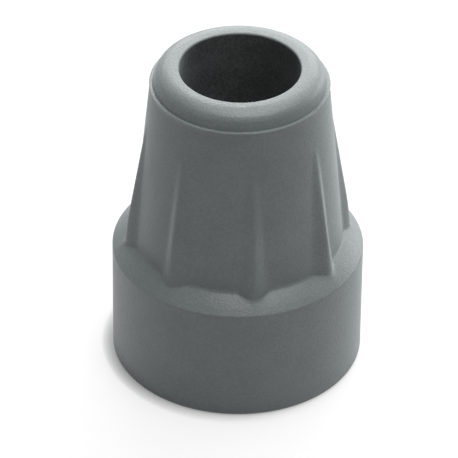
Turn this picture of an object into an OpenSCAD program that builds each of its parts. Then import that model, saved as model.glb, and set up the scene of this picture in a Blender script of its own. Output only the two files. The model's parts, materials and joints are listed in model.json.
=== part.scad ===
// Rubber cane tip, moulded in one piece to slip over the foot of a cane shaft.
// The sole stands on z = 0, and the socket opens upwards along +Z.

/* [Socket] */
// Diameter of the socket that grips the shaft
socket_d = 19; // [16:0.5:25]
// Solid rubber between the sole and the end of the socket
floor_h = 13; // [8:0.5:18]
// Rounding of the socket's mouth
mouth_edge_r = 0.3; // [0.2:0.1:1]

/* [Rim] */
// Wall of the rim around the mouth of the socket, up to the rim's outer edge
rim_wall = 3.6; // [3.2:0.05:6]
// Height of the rim above the moulding line
rim_h = 2.8; // [2:0.1:5]
// Width of the slope that the rim's top ends in, seen from above
rim_slope_w = 1.6; // [0.8:0.1:1.8]
// Height that the slope falls towards the rim's outer edge
rim_slope_h = 0.85; // [0.3:0.05:1.2]
// Rounding between the rim's flat top and its slope, at most what they leave room for
rim_crown_r = 3.2; // [1:0.1:6]
// Rounding of the rim's outer edge, at most what its slope and its side leave room for
rim_edge_r = 1.6; // [0.5:0.1:2]
// How much further out the rim's side is at the moulding line than at the outer edge
rim_lean = 0.5; // [0.1:0.05:1]
// Width of the flat ledge that the rim leaves on top of the sleeve
ledge_w = 0.4; // [0.1:0.05:0.8]
// How far the lip at the moulding line stands out of the sleeve
lip_w = 0.15; // [0.05:0.05:0.4]
// Height over which the sleeve flares out to the lip
lip_h = 0.3; // [0.1:0.1:0.8]

/* [Sleeve] */
// Height of the tapered sleeve, from the shoulder to the moulding line
sleeve_h = 28.4; // [24:0.1:40]
// How much further out the sleeve is at its foot than at the moulding line
sleeve_flare = 2.7; // [1:0.05:5]
// Hollow rounding where the sleeve meets the shoulder
sleeve_foot_r = 0.7; // [0.2:0.1:1.5]

/* [Ribs] */
// Number of ribs around the sleeve
rib_count = 8; // [4:1:10]
// How far a rib stands out of the sleeve at its foot
rib_h = 1.5; // [0.8:0.1:2]
// Length of a rib, from the foot of the sleeve to where it runs out
rib_length = 22; // [12:0.5:23]
// Angle between the two flanks of a rib
rib_angle = 86; // [70:1:120]
// Rounding of a rib's ridge
rib_ridge_r = 0.5; // [0.2:0.1:1]

/* [Base] */
// Height of the base's straight wall, up to the edge of the shoulder
base_h = 19.7; // [16:0.1:30]
// Width of the sloped shoulder, seen from above
shoulder_w = 3.3; // [2.6:0.1:6]
// Height that the shoulder gains towards the sleeve
shoulder_rise = 2.3; // [1:0.1:4]
// Rounding of the shoulder's outer edge
shoulder_edge_r = 0.45; // [0.3:0.05:2]
// Rounding of the edge between the base and the sole
sole_edge_r = 0.8; // [0.3:0.1:1.5]

/* [Tread] */
// Distance from one ring groove of the sole to the next
tread_pitch = 5; // [4:0.5:8]
// Width of a ring groove
tread_groove_w = 1.8; // [1:0.1:3]
// Depth of a ring groove
tread_groove_h = 1; // [0.5:0.1:2]
// Plain band left around the outermost groove
tread_band_w = 2.5; // [2:0.1:4]

/* [Hidden] */
$fn = 96;

// Straight steps that make up one rounded corner
corner_steps = 8;
// Overlap that keeps a cut clear of the face it opens
cut_over = 1;
// Straight stretch that the rim's section keeps between two roundings
rim_flat = 0.2;
// Depth to which a rib is rooted below the sleeve's surface
rib_root = 1.2;
// Stretch of a rib that is buried in the sleeve's wall above where it runs out
rib_run_out = 4;

socket_r = socket_d / 2;
rim_r = socket_r + rim_wall;
rim_foot_r = rim_r + rim_lean;
sleeve_top_r = rim_foot_r + ledge_w;
sleeve_bottom_r = sleeve_top_r + sleeve_flare;
base_r = sleeve_bottom_r + shoulder_w;

// Each rounding of the rim takes at most the room that the straight stretches beside it leave
rim_top_w = rim_wall - rim_slope_w;
rim_side_h = rim_h - rim_slope_h;
slope_angle = atan2(rim_slope_h, rim_slope_w);
side_angle = atan2(rim_side_h, rim_lean);
slope_room = (norm([rim_slope_w, rim_slope_h]) - rim_flat) / 2;
crown_room = min(slope_room, rim_top_w - mouth_edge_r - rim_flat);
edge_room = min(slope_room, rim_side_h - rim_flat);
crown_rounding = min(rim_crown_r, crown_room / tan(slope_angle / 2));
edge_rounding = min(rim_edge_r, edge_room / tan((side_angle - slope_angle) / 2));

sleeve_bottom_z = base_h + shoulder_rise;
sleeve_top_z = sleeve_bottom_z + sleeve_h;
top_z = sleeve_top_z + rim_h;

// A rib's ridge runs straight from the foot of the sleeve to the point where it meets the surface
rib_top_r = sleeve_bottom_r - sleeve_flare * rib_length / sleeve_h;
rib_bottom_r = sleeve_bottom_r + rib_h;
rib_lean = atan((rib_bottom_r - rib_top_r) / rib_length);
// Rounding takes this much off the sharp crest of the two flanks
rib_crest = rib_ridge_r * (1 / sin(rib_angle / 2) - 1);

// Unit vector from point a towards point b
function towards(a, b) = (b - a) / norm(b - a);

// Points of the arc of radius r that rounds corner b, on the way from a to c
function corner_arc(a, b, c, r) =
    let (
        back = towards(b, a),
        ahead = towards(b, c),
        half = acos(back * ahead) / 2,
        centre = b + towards([0, 0], back + ahead) * r / sin(half),
        first = b + back * r / tan(half) - centre,
        turn = (back.x * ahead.y - back.y * ahead.x > 0 ? -1 : 1) * (180 - 2 * half)
    )
    [
        for (i = [0 : corner_steps])
            let (t = turn * i / corner_steps)
            centre + [first.x * cos(t) - first.y * sin(t), first.x * sin(t) + first.y * cos(t)]
    ];

// Closed outline through corners given as [x, y, rounding]
function rounded_outline(corners) =
    let (
        n = len(corners),
        p = [for (c = corners) [c.x, c.y]]
    )
    [
        for (i = [0 : n - 1])
            each corners[i][2] > 0
                ? corner_arc(p[(i + n - 1) % n], p[i], p[(i + 1) % n], corners[i][2])
                : [p[i]]
    ];

// Turned form: base, shoulder, sleeve, lip and rim, with the blind socket for the shaft
module turned_form() {
    rotate_extrude()
        polygon(rounded_outline([
            [0, 0, 0],
            [base_r, 0, sole_edge_r],
            [base_r, base_h, shoulder_edge_r],
            [sleeve_bottom_r, sleeve_bottom_z, sleeve_foot_r],
            [sleeve_top_r, sleeve_top_z - lip_h, 0],
            [sleeve_top_r + lip_w, sleeve_top_z, 0],
            [rim_foot_r, sleeve_top_z, 0],
            [rim_r, top_z - rim_slope_h, edge_rounding],
            [socket_r + rim_top_w, top_z, crown_rounding],
            [socket_r, top_z, mouth_edge_r],
            [socket_r, floor_h, 0],
            [0, floor_h, 0]
        ]));
}

// One rib along +X: a V section with a rounded ridge, laid along the ridge line
module rib() {
    depth = rib_h + rib_root;
    half_w = (depth + rib_crest) * tan(rib_angle / 2);
    below = shoulder_rise / cos(rib_lean);
    above = (rib_length + rib_run_out) / cos(rib_lean);
    translate([rib_bottom_r, 0, sleeve_bottom_z])
        rotate([0, -rib_lean, 0])
            translate([0, 0, -below])
                linear_extrude(height = below + above)
                    polygon(rounded_outline([
                        [rib_crest, 0, rib_ridge_r],
                        [-depth, half_w, 0],
                        [-depth, -half_w, 0]
                    ]));
}

// Ring grooves in the sole, as many as its radius takes
module tread_grooves() {
    last_r = base_r - tread_band_w - tread_groove_w / 2;
    for (r = [tread_pitch : tread_pitch : last_r])
        rotate_extrude()
            translate([r - tread_groove_w / 2, -cut_over])
                square([tread_groove_w, tread_groove_h + cut_over]);
}

module cane_tip() {
    color([0.40, 0.42, 0.43])
        difference() {
            union() {
                turned_form();
                for (i = [0 : rib_count - 1])
                    rotate([0, 0, 360 * i / rib_count - 90])
                        rib();
            }
            tread_grooves();
        }
}

cane_tip();
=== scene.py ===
"""Looks of the rubber cane tip: one moulded piece of matte grey rubber, standing on a pale floor."""

import json
import math

import bmesh
import bpy
from mathutils import Matrix, Vector


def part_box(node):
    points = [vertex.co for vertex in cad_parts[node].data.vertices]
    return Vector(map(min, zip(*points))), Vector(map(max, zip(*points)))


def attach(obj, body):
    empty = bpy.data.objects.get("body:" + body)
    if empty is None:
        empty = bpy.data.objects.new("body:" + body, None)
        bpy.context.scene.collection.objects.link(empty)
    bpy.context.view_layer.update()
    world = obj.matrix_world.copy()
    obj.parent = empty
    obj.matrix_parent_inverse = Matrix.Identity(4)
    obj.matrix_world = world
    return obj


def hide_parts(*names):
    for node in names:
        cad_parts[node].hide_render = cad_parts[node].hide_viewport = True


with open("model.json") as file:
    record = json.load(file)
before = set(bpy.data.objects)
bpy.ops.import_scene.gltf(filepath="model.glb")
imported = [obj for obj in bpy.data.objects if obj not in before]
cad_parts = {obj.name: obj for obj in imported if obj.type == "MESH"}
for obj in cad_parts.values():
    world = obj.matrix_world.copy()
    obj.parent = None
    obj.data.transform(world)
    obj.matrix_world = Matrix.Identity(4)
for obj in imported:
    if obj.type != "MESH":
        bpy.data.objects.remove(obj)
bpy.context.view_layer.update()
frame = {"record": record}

MM = 0.001

# Sizes that the frame gives
tip_low, tip_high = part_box("cane_tip")
BASE_R = (tip_high.x - tip_low.x) / 2
TOP_Z = tip_high.z
shaft_socket = next(m for m in frame["record"]["mounts"] if m["name"] == "shaft_socket")
SOCKET_R = shaft_socket["dims"]["r_mm"] * MM
SOCKET_FLOOR_Z = shaft_socket["pos_m"][2] - shaft_socket["dims"]["length_mm"] * MM / 2

# Sizes of the rim, the sleeve and the base
RIM_WALL = 3.6 * MM
RIM_H = 2.8 * MM
RIM_SLOPE_W = 1.6 * MM
RIM_SLOPE_H = 0.85 * MM
RIM_LEAN = 0.5 * MM
LEDGE_W = 0.4 * MM
LIP_W = 0.15 * MM
LIP_H = 0.3 * MM
SLEEVE_H = 28.4 * MM
SLEEVE_FLARE = 2.7 * MM
SHOULDER_RISE = 2.3 * MM
SHOULDER_CROWN = 0.2 * MM
RIM_R = SOCKET_R + RIM_WALL
RIM_FOOT_R = RIM_R + RIM_LEAN
SLEEVE_TOP_R = RIM_FOOT_R + LEDGE_W
SLEEVE_TOP_Z = TOP_Z - RIM_H
SLEEVE_BOTTOM_R = SLEEVE_TOP_R + SLEEVE_FLARE
SLEEVE_BOTTOM_Z = SLEEVE_TOP_Z - SLEEVE_H
BASE_H = SLEEVE_BOTTOM_Z - SHOULDER_RISE

# Roundings of the edges
RIM_CROWN_R = 3.2 * MM
RIM_EDGE_R = 1.6 * MM
MOUTH_EDGE_R = 0.3 * MM
LIP_EDGE_R = 0.05 * MM
SLEEVE_FOOT_R = 0.7 * MM
SHOULDER_EDGE_R = 0.35 * MM
SHOULDER_CROWN_R = 10 * MM
SOLE_EDGE_R = 0.8 * MM
SOCKET_FLOOR_EDGE_R = 0.8 * MM
TREAD_EDGE_R = 0.2 * MM

# Ribs of the sleeve; a hollow above 1 makes their flanks sink in
RIB_COUNT = 8
RIB_FRONT = math.radians(-90)
RIB_H = 1.6 * MM
RIB_LENGTH = 22 * MM
RIB_HALF_W = 1.8 * MM
RIB_HOLLOW = 1.2
RIB_RIDGE_R = 0.4 * MM
RIB_FOOT_H = 6 * MM
RIB_FOOT_DROP = 0.25 * MM
RIB_FOOT_R = 1.4 * MM

# How crisply a rib meets the rounding at the sleeve's foot: the higher, the crisper
RIB_BLEND = 4

# Ring grooves of the sole
TREAD_PITCH = 5 * MM
TREAD_RINGS = 3
TREAD_GROOVE_W = 1.8 * MM
TREAD_GROOVE_H = 1 * MM

# Fineness of the mesh
SPIN_STEPS = 240
STEPS_GATHERED = 0.6
ROUNDING_SEGMENTS = 10
ROW_H = 0.9 * MM
SHOULDER_ROW_H = 0.15 * MM
MERGE_GAP = 0.001 * MM

# Colours of the rubber's darker and lighter spots outside, and of the same spots darkened as painted
# shade in the socket
OUTSIDE_DARK = (0.142, 0.165, 0.165, 1.0)
OUTSIDE_LIGHT = (0.178, 0.204, 0.204, 1.0)
SOCKET_PAINTED_SHADE_DARK = (0.095, 0.101, 0.102, 1.0)
SOCKET_PAINTED_SHADE_LIGHT = (0.185, 0.197, 0.198, 1.0)

# Band of the mouth over which the painted shade of the socket begins
SOCKET_PAINTED_SHADE_W = 0.12 * MM

# Patterns of the rubber in features per metre, and the range of a noise that is made use of
MOTTLE_SCALE = 140.0
SPECKLE_SCALE = 2600.0
GRAIN_SCALE = 3200.0
WAVE_SCALE = 160.0
NOISE_LOW = 0.3
NOISE_HIGH = 0.7

# Relief and gloss of the rubber
GRAIN_STRENGTH = 1.0
GRAIN_H = 0.07 * MM
WAVE_STRENGTH = 0.5
WAVE_H = 0.08 * MM
ROUGHNESS_LOW = 0.42
ROUGHNESS_HIGH = 0.50
SPECULAR_LEVEL = 0.7
SHEEN_WEIGHT = 0.2
SHEEN_ROUGHNESS = 0.5
SHEEN_TINT = (0.86, 1.0, 1.0, 1.0)

# Pale floor, which looks whiter than it is and keeps a part of the shadow
FLOOR_HALF = 2.0
FLOOR_GAP = 0.02 * MM
FLOOR_COLOUR = (0.75, 0.75, 0.75, 1.0)
FLOOR_SEEN_COLOUR = (0.32, 0.32, 0.32, 1.0)
FLOOR_GLOW = 0.74

# Painted shadow on the floor close to the sole, where its glow is dimmed: how far it reaches, and the
# side that it is lit from
SHADE_REACH = 2.1 * MM
SHADE_AZIMUTH = math.radians(90)
SHADE_ELEVATION = math.radians(15)

# Softboxes: name, azimuth and elevation in degrees, width and height in metres, power in watts
SOFTBOXES = (
    ("overhead", 90, 83, 0.45, 0.28, 2.9),
    ("back", 166, 25, 0.55, 0.28, 2.95),
    ("right", 120, 8, 0.28, 0.28, 1.3),
    ("left", 210, 8, 0.28, 0.28, 0.05),
)
SOFTBOX_DISTANCE = 0.6

# View of the photograph
IMAGE_SIDE_PX = 458
FOCAL_PX = 4424.5
AIM_Z = 26.5 * MM
AIM_PX = (237.96, 206.68)
VIEW_AZIMUTH = math.radians(-8.87)
VIEW_ELEVATION = math.radians(35.88)
VIEW_ROLL = math.radians(0.62)
VIEW_DISTANCE = 701.7 * MM
SENSOR_MM = 36


def add_material(name):
    """A node material with nothing in it."""
    material = bpy.data.materials.new(name)
    material.use_nodes = True
    material.node_tree.nodes.clear()
    return material


def add_node(material, kind, links=None, **settings):
    """A node of that kind: settings by property name, links by input name to a socket or a value."""
    node = material.node_tree.nodes.new(kind)
    for key, value in settings.items():
        setattr(node, key, value)
    for key, value in (links or {}).items():
        socket = node.inputs[key]
        if isinstance(value, bpy.types.NodeSocket):
            material.node_tree.links.new(value, socket)
        else:
            socket.default_value = value
    return node


def math_node(material, operation, first, second=0.0, clamp=False):
    """Output of a Math node."""
    links = {0: first, 1: second}
    return add_node(material, "ShaderNodeMath", links, operation=operation, use_clamp=clamp).outputs[0]


def mixed_colour(material, share, first, second):
    """Output of a mix of two colours, with that share of the second one."""
    links = {"Factor": share, "A": first, "B": second}
    return add_node(material, "ShaderNodeMix", links, data_type="RGBA").outputs["Result"]


def noise(material, place, scale, detail):
    """Output of a Noise Texture, its scale in features per metre."""
    links = {"Vector": place, "Scale": scale, "Detail": detail}
    return add_node(material, "ShaderNodeTexNoise", links).outputs["Fac"]


def spread(material, value, low, high):
    """The range of a noise that is made use of, spread over low to high."""
    links = {
        "Value": value,
        "From Min": NOISE_LOW,
        "From Max": NOISE_HIGH,
        "To Min": low,
        "To Max": high,
    }
    return add_node(material, "ShaderNodeMapRange", links).outputs["Result"]


def smooth_step(material, value, start, end):
    """0 up to start, 1 from end on, and a smooth rise between them."""
    links = {"Value": value, "From Min": start, "From Max": end}
    node = add_node(material, "ShaderNodeMapRange", links, interpolation_type="SMOOTHSTEP")
    return node.outputs["Result"]


def grey_rubber():
    """Matte grey rubber with a fine grain and faint mottling, and shade painted darker into the socket.
    """
    material = add_material("grey_rubber")
    place = add_node(material, "ShaderNodeTexCoord").outputs["Object"]

    mottle = noise(material, place, MOTTLE_SCALE, detail=3.0)
    speckle = noise(material, place, SPECKLE_SCALE, detail=1.0)
    tone = math_node(
        material,
        "ADD",
        spread(material, mottle, -0.5, 0.5),
        spread(material, speckle, -0.5, 0.5),
    )
    light_share = math_node(material, "ADD", tone, 0.5, clamp=True)
    outside = mixed_colour(material, light_share, OUTSIDE_DARK, OUTSIDE_LIGHT)
    # Painted shade: the socket's colour is darker than the outside
    painted_shade_colour = mixed_colour(material, light_share, SOCKET_PAINTED_SHADE_DARK, SOCKET_PAINTED_SHADE_LIGHT)

    parts = add_node(material, "ShaderNodeSeparateXYZ", {"Vector": place}).outputs
    squares = [math_node(material, "MULTIPLY", parts[axis], parts[axis]) for axis in ("X", "Y")]
    radius = math_node(material, "SQRT", math_node(material, "ADD", *squares))
    # Where the painted shade lies: the socket's wall, from the mouth down to its floor
    within_wall = smooth_step(material, radius, SOCKET_R + SOCKET_PAINTED_SHADE_W, SOCKET_R)
    above_sole = smooth_step(material, parts["Z"], SOCKET_FLOOR_Z / 2, SOCKET_FLOOR_Z)
    painted_shade_mask = math_node(material, "MULTIPLY", within_wall, above_sole)

    grain_bump = add_node(
        material,
        "ShaderNodeBump",
        {
            "Height": noise(material, place, GRAIN_SCALE, detail=2.0),
            "Strength": GRAIN_STRENGTH,
            "Distance": GRAIN_H,
        },
    )
    wave_bump = add_node(
        material,
        "ShaderNodeBump",
        {
            "Height": noise(material, place, WAVE_SCALE, detail=2.0),
            "Strength": WAVE_STRENGTH,
            "Distance": WAVE_H,
            "Normal": grain_bump.outputs["Normal"],
        },
    )
    shader = add_node(
        material,
        "ShaderNodeBsdfPrincipled",
        {
            "Base Color": mixed_colour(material, painted_shade_mask, outside, painted_shade_colour),
            "Roughness": spread(material, mottle, ROUGHNESS_LOW, ROUGHNESS_HIGH),
            "Specular IOR Level": SPECULAR_LEVEL,
            "Sheen Weight": SHEEN_WEIGHT,
            "Sheen Roughness": SHEEN_ROUGHNESS,
            "Sheen Tint": SHEEN_TINT,
            "Normal": wave_bump.outputs["Normal"],
        },
    )
    add_node(material, "ShaderNodeOutputMaterial", {"Surface": shader.outputs["BSDF"]})
    return material


def section_corners():
    """Corners of the section, from the middle of the sole round to the middle of the socket's floor."""
    corners = [(0, 0, 0)]
    for ring in range(1, TREAD_RINGS + 1):
        inner = ring * TREAD_PITCH - TREAD_GROOVE_W / 2
        outer = ring * TREAD_PITCH + TREAD_GROOVE_W / 2
        corners += [
            (inner, 0, TREAD_EDGE_R),
            (inner, TREAD_GROOVE_H, TREAD_EDGE_R),
            (outer, TREAD_GROOVE_H, TREAD_EDGE_R),
            (outer, 0, TREAD_EDGE_R),
        ]
    slope = math.atan2(SHOULDER_RISE, BASE_R - SLEEVE_BOTTOM_R)
    crown_r = (BASE_R + SLEEVE_BOTTOM_R) / 2 + SHOULDER_CROWN * math.sin(slope)
    crown_z = (BASE_H + SLEEVE_BOTTOM_Z) / 2 + SHOULDER_CROWN * math.cos(slope)
    corners += [
        (BASE_R, 0, SOLE_EDGE_R),
        (BASE_R, BASE_H, SHOULDER_EDGE_R),
        (crown_r, crown_z, SHOULDER_CROWN_R),
        (SLEEVE_BOTTOM_R, SLEEVE_BOTTOM_Z, SLEEVE_FOOT_R),
        (SLEEVE_TOP_R, SLEEVE_TOP_Z - LIP_H, 0),
        (SLEEVE_TOP_R + LIP_W, SLEEVE_TOP_Z, LIP_EDGE_R),
        (RIM_FOOT_R, SLEEVE_TOP_Z, LIP_EDGE_R),
        (RIM_R, TOP_Z - RIM_SLOPE_H, RIM_EDGE_R),
        (RIM_R - RIM_SLOPE_W, TOP_Z, RIM_CROWN_R),
        (SOCKET_R, TOP_Z, MOUTH_EDGE_R),
        (SOCKET_R, SOCKET_FLOOR_Z, SOCKET_FLOOR_EDGE_R),
        (0, SOCKET_FLOOR_Z, 0),
    ]
    return corners


def round_corner(shape, corner, radius):
    """Rounds one corner of an open outline of edges."""
    sides = [(edge.other_vert(corner).co - corner.co).normalized() for edge in corner.link_edges]
    half = sides[0].angle(sides[1]) / 2
    bmesh.ops.bevel(
        shape,
        geom=[corner],
        offset=radius / math.tan(half),
        offset_type="OFFSET",
        affect="VERTICES",
        segments=ROUNDING_SEGMENTS,
        profile=0.5,
        material=-1,
    )


def cut_into_rows(shape):
    """Cuts the straight stretches of the outline into rows, with the finest on the shoulder."""
    for edge in list(shape.edges):
        low, high = sorted(v.co.z for v in edge.verts)
        on_shoulder = low > BASE_H and high < SLEEVE_BOTTOM_Z
        row = SHOULDER_ROW_H if on_shoulder else ROW_H
        cuts = int(edge.calc_length() / row)
        if cuts:
            bmesh.ops.subdivide_edges(shape, edges=[edge], cuts=cuts)


def rib_bulge(aside, above_foot):
    """How far a rib stands out of the sleeve, at that distance from its middle and above its foot."""
    near_foot = max(1 - above_foot / RIB_FOOT_H, 0.0)
    height = RIB_H * (1 - above_foot / RIB_LENGTH) - RIB_FOOT_DROP * near_foot ** 2
    if height <= 0:
        return 0.0
    half_w = RIB_HALF_W * math.sqrt(height / RIB_H)
    rounding = RIB_RIDGE_R + (RIB_FOOT_R - RIB_RIDGE_R) * min(near_foot, 1.0) ** 2
    rounded_aside = math.hypot(aside, rounding) - rounding
    return height * max(1 - rounded_aside / half_w, 0.0) ** RIB_HOLLOW


def raise_ribs(shape):
    """Gathers the spin's steps at the ridges, and draws the wall out to the ribs there."""
    pitch = 2 * math.pi / RIB_COUNT
    for vertex in shape.verts:
        radius = vertex.co.xy.length
        if radius < MERGE_GAP:
            continue
        angle = math.atan2(vertex.co.y, vertex.co.x)
        off_ridge = (angle - RIB_FRONT + pitch / 2) % pitch - pitch / 2
        gathered = off_ridge - STEPS_GATHERED * math.sin(off_ridge * RIB_COUNT) / RIB_COUNT
        angle += gathered - off_ridge
        on_sleeve = BASE_H < vertex.co.z < SLEEVE_TOP_Z - LIP_H and radius > RIM_R
        if on_sleeve:
            above_foot = vertex.co.z - SLEEVE_BOTTOM_Z
            cone = SLEEVE_BOTTOM_R - SLEEVE_FLARE * above_foot / SLEEVE_H
            bulge = rib_bulge(abs(radius * math.sin(gathered)), above_foot)
            beyond = max(radius - cone, 0.0)
            radius = cone + (bulge ** RIB_BLEND + beyond ** RIB_BLEND) ** (1 / RIB_BLEND)
        vertex.co.x = radius * math.cos(angle)
        vertex.co.y = radius * math.sin(angle)


def build_cane_tip():
    """The whole tip: its section is rounded, cut into rows and spun, and then the ribs are raised."""
    shape = bmesh.new()
    corners = section_corners()
    line = [shape.verts.new((r, 0, z)) for r, z, rounding in corners]
    for start, end in zip(line, line[1:]):
        shape.edges.new((start, end))
    for vertex, (r, z, rounding) in zip(line, corners):
        if rounding:
            round_corner(shape, vertex, rounding)
    cut_into_rows(shape)
    bmesh.ops.spin(
        shape,
        geom=list(shape.verts) + list(shape.edges),
        cent=(0, 0, 0),
        axis=(0, 0, 1),
        angle=2 * math.pi,
        steps=SPIN_STEPS,
        use_merge=True,
    )
    bmesh.ops.remove_doubles(shape, verts=list(shape.verts), dist=MERGE_GAP)
    raise_ribs(shape)
    bmesh.ops.recalc_face_normals(shape, faces=list(shape.faces))
    for face in shape.faces:
        face.smooth = True
    mesh = bpy.data.meshes.new("moulded_tip")
    shape.to_mesh(mesh)
    shape.free()
    tip = bpy.data.objects.new("moulded_tip", mesh)
    bpy.context.scene.collection.objects.link(tip)
    mesh.materials.append(grey_rubber())
    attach(tip, "root")
    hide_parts("cane_tip")


def direction(azimuth, elevation):
    """Unit vector from the tip towards a place at that azimuth and elevation; azimuth 0 is -Y."""
    flat = math.cos(elevation)
    return Vector((math.sin(azimuth) * flat, -math.cos(azimuth) * flat, math.sin(elevation)))


def seen_directly(tree):
    """1 for rays of the camera, of gloss and of glass, and 0 for light that only bounces."""
    path = tree.nodes.new("ShaderNodeLightPath").outputs
    seen = path["Is Camera Ray"]
    for name in ("Is Glossy Ray", "Is Transmission Ray"):
        larger = tree.nodes.new("ShaderNodeMath")
        larger.operation = "MAXIMUM"
        tree.links.new(seen, larger.inputs[0])
        tree.links.new(path[name], larger.inputs[1])
        seen = larger.outputs[0]
    return seen


def pale_floor():
    """Matte and pale for light that bounces; where it is seen, a glow whitens it outside a painted
    shadow by the sole.
    """
    material = add_material("pale_floor")
    seen = seen_directly(material.node_tree)
    colour = mixed_colour(material, seen, FLOOR_COLOUR, FLOOR_SEEN_COLOUR)
    matte = add_node(material, "ShaderNodeBsdfDiffuse", {"Color": colour})
    lit_side = add_node(
        material,
        "ShaderNodeCombineXYZ",
        dict(zip("XYZ", direction(SHADE_AZIMUTH, SHADE_ELEVATION))),
    )
    # Painted shadow: the glow is dimmed where the sole hides the floor from the lit side
    openness = add_node(
        material,
        "ShaderNodeAmbientOcclusion",
        {"Distance": SHADE_REACH, "Normal": lit_side.outputs["Vector"]},
    )
    glow_seen = math_node(material, "MULTIPLY", seen, FLOOR_GLOW)
    strength = math_node(material, "MULTIPLY", glow_seen, openness.outputs["AO"])
    glow = add_node(material, "ShaderNodeEmission", {"Strength": strength})
    both = add_node(
        material,
        "ShaderNodeAddShader",
        {0: matte.outputs["BSDF"], 1: glow.outputs["Emission"]},
    )
    add_node(material, "ShaderNodeOutputMaterial", {"Surface": both.outputs["Shader"]})
    return material


def build_floor():
    """A plain pale floor that keeps the lamps' shadow of the tip, with a painted shadow close to the
    sole, and looks white around it.
    """
    shape = bmesh.new()
    bmesh.ops.create_grid(shape, x_segments=1, y_segments=1, size=FLOOR_HALF)
    mesh = bpy.data.meshes.new("floor")
    shape.to_mesh(mesh)
    shape.free()
    floor = bpy.data.objects.new("floor", mesh)
    bpy.context.scene.collection.objects.link(floor)
    floor.location.z = -FLOOR_GAP
    mesh.materials.append(pale_floor())


def build_lights():
    """Soft studio light around the tip."""
    middle = Vector((0, 0, TOP_Z / 2))
    for name, azimuth, elevation, width, height, power in SOFTBOXES:
        lamp = bpy.data.lights.new(name, "AREA")
        lamp.shape = "RECTANGLE"
        lamp.size = width
        lamp.size_y = height
        lamp.energy = power
        box = bpy.data.objects.new(name, lamp)
        away = direction(math.radians(azimuth), math.radians(elevation))
        box.location = middle + away * SOFTBOX_DISTANCE
        box.rotation_mode = "QUATERNION"
        box.rotation_quaternion = away.to_track_quat("Z", "Y")
        box.visible_camera = False
        bpy.context.scene.collection.objects.link(box)


def build_surround():
    """A surround that is white where it is seen, and gives no light of its own."""
    world = bpy.data.worlds.new("studio")
    world.use_nodes = True
    bpy.context.scene.world = world
    tree = world.node_tree
    tree.nodes.clear()
    output = tree.nodes.new("ShaderNodeOutputWorld")
    background = tree.nodes.new("ShaderNodeBackground")
    background.inputs["Color"].default_value = (1, 1, 1, 1)
    tree.links.new(seen_directly(tree), background.inputs["Strength"])
    tree.links.new(background.outputs["Background"], output.inputs["Surface"])


def build_camera():
    """The photograph's view: a point of the axis lies at its pixel, and the image is slightly rolled."""
    middle = Vector((0, 0, AIM_Z))
    back = direction(VIEW_AZIMUTH, VIEW_ELEVATION)
    right = Vector((0, 0, 1)).cross(back).normalized()
    up = back.cross(right)
    step = VIEW_DISTANCE / FOCAL_PX
    aside = (IMAGE_SIDE_PX / 2 - AIM_PX[0]) * step
    above = (AIM_PX[1] - IMAGE_SIDE_PX / 2) * step
    place = middle + back * VIEW_DISTANCE
    aim = middle + right * aside + up * above
    data = bpy.data.cameras.new("view")
    data.sensor_width = SENSOR_MM
    data.lens = FOCAL_PX / IMAGE_SIDE_PX * SENSOR_MM
    data.clip_start = VIEW_DISTANCE / 10
    data.clip_end = VIEW_DISTANCE * 10
    camera = bpy.data.objects.new("view", data)
    turn = (aim - place).to_track_quat("-Z", "Y").to_matrix().to_4x4()
    camera.matrix_world = Matrix.Translation(place) @ turn @ Matrix.Rotation(VIEW_ROLL, 4, "Z")
    bpy.context.scene.collection.objects.link(camera)
    bpy.context.scene.camera = camera


build_cane_tip()
build_floor()
build_lights()
build_surround()
build_camera()
bpy.context.scene.view_settings.view_transform = "Standard"
